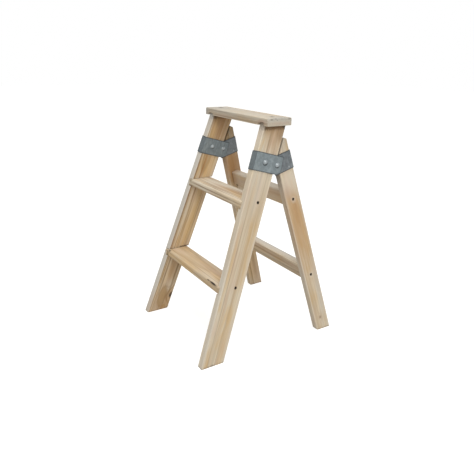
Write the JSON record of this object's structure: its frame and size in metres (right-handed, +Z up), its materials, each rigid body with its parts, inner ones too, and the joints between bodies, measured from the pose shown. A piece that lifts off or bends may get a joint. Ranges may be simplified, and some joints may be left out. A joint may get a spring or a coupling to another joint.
{
  "type": "wooden stepladder",
  "caption": "Small folding wooden stepladder: splayed front frame with housed treads and a cap, and a railed rear frame on riveted strap hinges.",
  "frame": {"origin": "on the floor, midway between the four feet with the ladder open", "axes": "+Z up, +Y from the climbing side to the rear, +X to the climber's right"},
  "size_m": [0.455, 0.5328, 0.75],
  "materials": {
    "pine": "planed, unfinished",
    "strap_steel": "galvanised sheet, dull",
    "rivet_steel": "zinc plated, satin",
    "nail_steel": "galvanised, dull",
    "screw_steel": "dark, dull"
  },
  "bodies": {
    "front_frame": {"left_stile": "pine", "right_stile": "pine", "lower_tread": "pine", "upper_tread": "pine", "top_cap": "pine", "left_front_strap": "strap_steel", "right_front_strap": "strap_steel", "stile_rivets": "rivet_steel", "pivot_rivets": "rivet_steel", "lower_tread_screws": "screw_steel", "upper_tread_screws": "screw_steel", "cap_screws": "screw_steel"},
    "rear_frame": {"left_rear_leg": "pine", "right_rear_leg": "pine", "lower_rear_rail": "pine", "upper_rear_rail": "pine", "left_rear_strap": "strap_steel", "right_rear_strap": "strap_steel", "strap_nails": "nail_steel", "lower_rail_screws": "screw_steel", "upper_rail_screws": "screw_steel"}
  },
  "joints": [
    {"name": "rear_frame_fold", "type": "hinge", "parent": "front_frame", "child": "rear_frame", "pos_m": [0, 0.0262, 0.608], "axis": [-1, 0, 0], "range_deg": [0, 35.2]}
  ]
}
